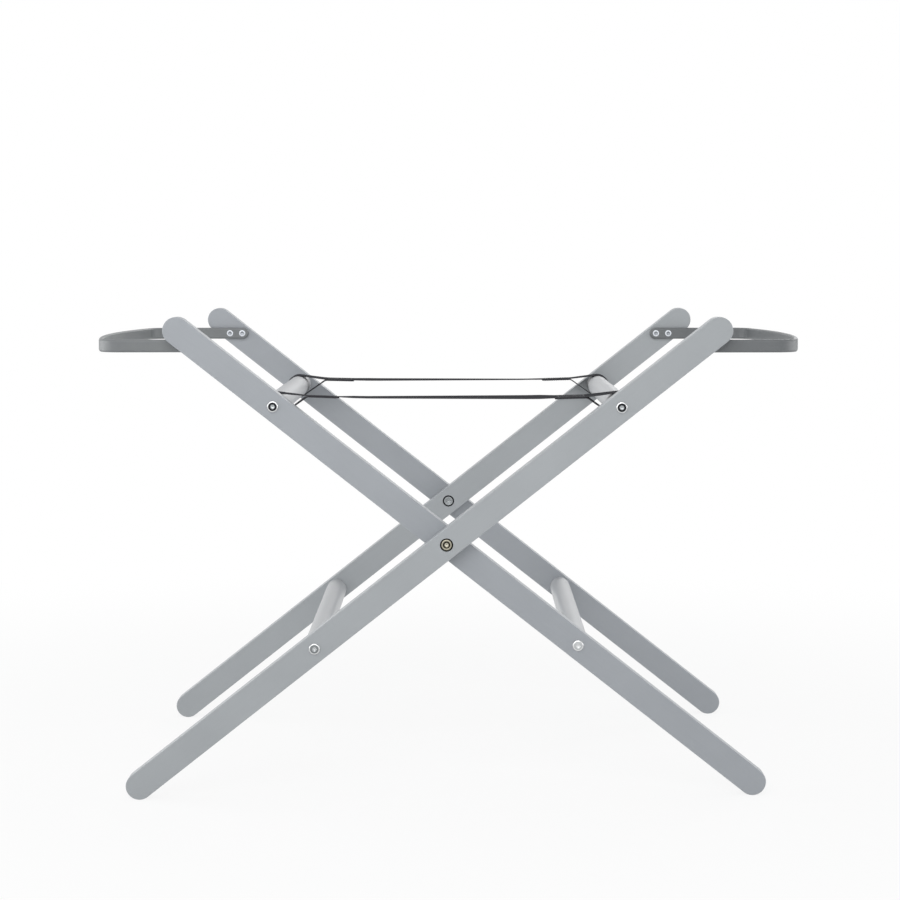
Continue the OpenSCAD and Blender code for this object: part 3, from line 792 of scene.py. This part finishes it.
def stitch_tree():
    """Sews along edges: one short arch of thread at each step of a seam."""
    tree = bpy.data.node_groups.new("stitches_along_seams", "GeometryNodeTree")
    for name, kind in (("Seams", "NodeSocketGeometry"), ("Stitch pitch", "NodeSocketFloat"),
                       ("Stitch length", "NodeSocketFloat"), ("Thread diameter", "NodeSocketFloat"),
                       ("Finish", "NodeSocketMaterial")):
        tree.interface.new_socket(name, in_out="INPUT", socket_type=kind)
    tree.interface.new_socket("Stitches", in_out="OUTPUT", socket_type="NodeSocketGeometry")
    given = add(tree, "NodeGroupInput")
    length, diameter = {0: given.outputs["Stitch length"]}, {0: given.outputs["Thread diameter"]}
    half = add(tree, "ShaderNodeMath", {1: 0.5}, length, operation="MULTIPLY")
    back = add(tree, "ShaderNodeMath", {1: -0.5}, length, operation="MULTIPLY")
    radius = add(tree, "ShaderNodeMath", {1: 0.5}, diameter, operation="MULTIPLY")
    # The ends of a stitch lie in the webbing and its crest stands proud of it, in thread diameters
    end_height, crest_height = -0.4, 0.8
    sunk = add(tree, "ShaderNodeMath", {1: end_height}, diameter, operation="MULTIPLY")
    proud = add(tree, "ShaderNodeMath", {1: crest_height}, diameter, operation="MULTIPLY")
    start = add(tree, "ShaderNodeCombineXYZ", None, {"X": back.outputs[0], "Z": sunk.outputs[0]})
    crest = add(tree, "ShaderNodeCombineXYZ", None, {"Z": proud.outputs[0]})
    end = add(tree, "ShaderNodeCombineXYZ", None, {"X": half.outputs[0], "Z": sunk.outputs[0]})
    arch = add(tree, "GeometryNodeCurveQuadraticBezier", {"Resolution": 6},
               {"Start": start.outputs[0], "Middle": crest.outputs[0], "End": end.outputs[0]})
    rounding = add(tree, "GeometryNodeCurvePrimitiveCircle", {"Resolution": 6},
                   {"Radius": radius.outputs[0]})
    stitch = add(tree, "GeometryNodeCurveToMesh", {"Fill Caps": True},
                 {"Curve": arch.outputs["Curve"], "Profile Curve": rounding.outputs["Curve"]})
    seams = add(tree, "GeometryNodeMeshToCurve", None, {"Mesh": given.outputs["Seams"]})
    steps = add(tree, "GeometryNodeResampleCurve", None,
                {"Curve": seams.outputs["Curve"], "Length": given.outputs["Stitch pitch"]}, mode="LENGTH")
    tangent = add(tree, "GeometryNodeInputTangent")
    outward = add(tree, "GeometryNodeInputNamedAttribute", {"Name": "facing"}, data_type="FLOAT_VECTOR")
    ahead = add(tree, "FunctionNodeAlignRotationToVector", None, {"Vector": tangent.outputs["Tangent"]},
                axis="X")
    upright = add(tree, "FunctionNodeAlignRotationToVector", None,
                  {"Rotation": ahead.outputs["Rotation"], "Vector": outward.outputs["Attribute"]},
                  axis="Z", pivot_axis="X")
    sewn = add(tree, "GeometryNodeInstanceOnPoints", None,
               {"Points": steps.outputs["Curve"], "Instance": stitch.outputs["Mesh"],
                "Rotation": upright.outputs["Rotation"]})
    real = add(tree, "GeometryNodeRealizeInstances", None, {"Geometry": sewn.outputs["Instances"]})
    smooth = add(tree, "GeometryNodeSetShadeSmooth", None, {"Geometry": real.outputs["Geometry"]})
    finished = add(tree, "GeometryNodeSetMaterial", None,
                   {"Geometry": smooth.outputs["Geometry"], "Material": given.outputs["Finish"]})
    add(tree, "NodeGroupOutput", None, {"Stitches": finished.outputs["Geometry"]})
    return tree


stitches = stitch_tree()
for side, left, right in (
    ("front", StrapEnd(8.8 * MM, 7.5 * MM, -3.6, -0.6), StrapEnd(8.2 * MM, 7.2 * MM, 1.6, 4.2)),
    ("back", StrapEnd(7.9 * MM, 7.1 * MM, 1.0, 1.8), StrapEnd(8.2 * MM, 7.2 * MM, -1.4, -2.2)),
):
    middle = sum(span_y("strap_" + side)) / 2
    strap, strap_length = strap_band("webbing_strap_" + side, middle, left, right)
    sewing = grown("strap_stitching_" + side, seam_mesh(middle, left, right), stitches,
                   {"Stitch pitch": STITCH_PITCH, "Stitch length": STITCH_LENGTH,
                    "Thread diameter": THREAD_DIAMETER, "Finish": thread})
    for piece in (strap, sewing):
        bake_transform(piece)
    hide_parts("strap_" + side)


# Floor, light and camera, whose sizes are in metres

FLOOR_RADIUS = 9.0
# From where to where the floor fades into the background, and how much of that is there from the start
FADE_START, FADE_END, FADE_LEAST = 0.4, 1.5, 0.86
AMBIENT = 0.28


def direct_rays(tree):
    """A socket that is 1 for what the camera, gloss and glass see, and 0 for light on its way."""
    path = add(tree, "ShaderNodeLightPath")
    seen = add(tree, "ShaderNodeMath", None,
               {0: path.outputs["Is Camera Ray"], 1: path.outputs["Is Glossy Ray"]}, operation="MAXIMUM")
    shown = add(tree, "ShaderNodeMath", None,
                {0: seen.outputs[0], 1: path.outputs["Is Transmission Ray"]}, operation="MAXIMUM")
    return shown.outputs[0]


def pale_floor(name):
    """A plain white floor that keeps the stand's soft shadow and fades into the white background."""
    made, tree, output = new_material(name)
    place = add(tree, "ShaderNodeTexCoord")
    far = add(tree, "ShaderNodeVectorMath", None, {0: place.outputs["Object"]}, operation="LENGTH")
    fade = add(tree, "ShaderNodeMapRange",
               {"From Min": FADE_START, "From Max": FADE_END, "To Min": FADE_LEAST},
               {"Value": far.outputs["Value"]}, interpolation_type="SMOOTHSTEP")
    share = add(tree, "ShaderNodeMath", None, {0: direct_rays(tree), 1: fade.outputs["Result"]},
                operation="MULTIPLY")
    # The paint differs in tone over some 33 mm
    speck = add(tree, "ShaderNodeTexNoise", {"Scale": per_metre(33.3)}, {"Vector": place.outputs["Object"]})
    paint = add(tree, "ShaderNodeValToRGB", None, {"Fac": speck.outputs["Fac"]},
                stops=((0, "#EDEDED"), (1, "#F1F1F1")))
    matt = add(tree, "ShaderNodeBsdfDiffuse", None, {"Color": paint.outputs["Color"]})
    white = add(tree, "ShaderNodeEmission", {"Color": linear("#FFFFFF"), "Strength": 1.0})
    mixed = add(tree, "ShaderNodeMixShader", None,
                {0: share.outputs[0], 1: matt.outputs["BSDF"], 2: white.outputs["Emission"]})
    tree.links.new(mixed.outputs["Shader"], output.inputs["Surface"])
    return made


floor_mesh = bmesh.new()
bmesh.ops.create_circle(floor_mesh, cap_ends=True, radius=FLOOR_RADIUS, segments=64)
floor_data = bpy.data.meshes.new("floor")
floor_mesh.to_mesh(floor_data)
floor_mesh.free()
floor_data.materials.append(pale_floor("white_floor_paint"))
floor = linked("floor", floor_data)

world = bpy.data.worlds.new("white_studio")
bpy.context.scene.world = world
world.use_nodes = True
sky = world.node_tree
sky.nodes.clear()
soft = add(sky, "ShaderNodeBackground", {"Color": linear("#F6F8FA"), "Strength": AMBIENT})
plain = add(sky, "ShaderNodeBackground", {"Color": linear("#FFFFFF"), "Strength": 1.0})
mixed = add(sky, "ShaderNodeMixShader", None,
            {0: direct_rays(sky), 1: soft.outputs["Background"], 2: plain.outputs["Background"]})
add(sky, "ShaderNodeOutputWorld", None, {"Surface": mixed.outputs["Shader"]})


def softbox(name, place, aim, size, power):
    """A rectangular area lamp at a place, turned towards a point."""
    data = bpy.data.lights.new(name, "AREA")
    data.shape = "RECTANGLE"
    data.size, data.size_y = size
    data.energy = power
    made = linked(name, data)
    made.location = place
    made.rotation_mode = "QUATERNION"
    made.rotation_quaternion = (Vector(aim) - Vector(place)).to_track_quat("-Z", "Y")


# Two points on the stand that the softboxes face, the pivots and the straps
LOW, HIGH = (0, -0.1, 0.27), (0, 0, 0.4)
# Each softbox with its place, what it faces, its width and height and its power in watts
softbox("front_softbox", (-0.3, -1.75, 1.45), LOW, (2.0, 1.4), 18)
softbox("fill_softbox", (-0.15, -2.2, 0.8), LOW, (2.0, 1.0), 6.5)
softbox("top_softbox", (-0.2, 0.1, 2.1), LOW, (1.8, 1.4), 6)
softbox("back_softbox", (0.9, 2.0, 1.5), LOW, (1.4, 1.0), 10)
softbox("left_softbox", (-2.0, 0.0, 0.6), HIGH, (2.0, 0.8), 20)
softbox("right_softbox", (2.0, 0.0, 0.6), HIGH, (2.0, 0.8), 15)

# The place, turn and lens in millimetres that fit the photograph
CAMERA_PLACE = (0.0130, -2.4413, 0.56591)
YAW, PITCH, ROLL = math.radians(-0.240), math.radians(5.075), math.radians(-0.075)
LENS, SENSOR = 86.03, 36.0
NEAREST, FARTHEST = 0.05, 60

camera_data = bpy.data.cameras.new("camera")
camera_data.lens = LENS
camera_data.sensor_width = SENSOR
camera_data.clip_start = NEAREST
camera_data.clip_end = FARTHEST
ahead = Vector((math.sin(YAW) * math.cos(PITCH), math.cos(YAW) * math.cos(PITCH), -math.sin(PITCH)))
level = Vector((math.cos(YAW), -math.sin(YAW), 0))
upward = level.cross(ahead)
rightward = math.cos(ROLL) * level + math.sin(ROLL) * upward
top = math.cos(ROLL) * upward - math.sin(ROLL) * level
camera = linked("camera", camera_data)
turned_camera = Matrix((rightward, top, -ahead)).transposed().to_4x4()
camera.matrix_world = Matrix.Translation(CAMERA_PLACE) @ turned_camera
bpy.context.scene.camera = camera
bpy.context.scene.view_settings.view_transform = "Standard"
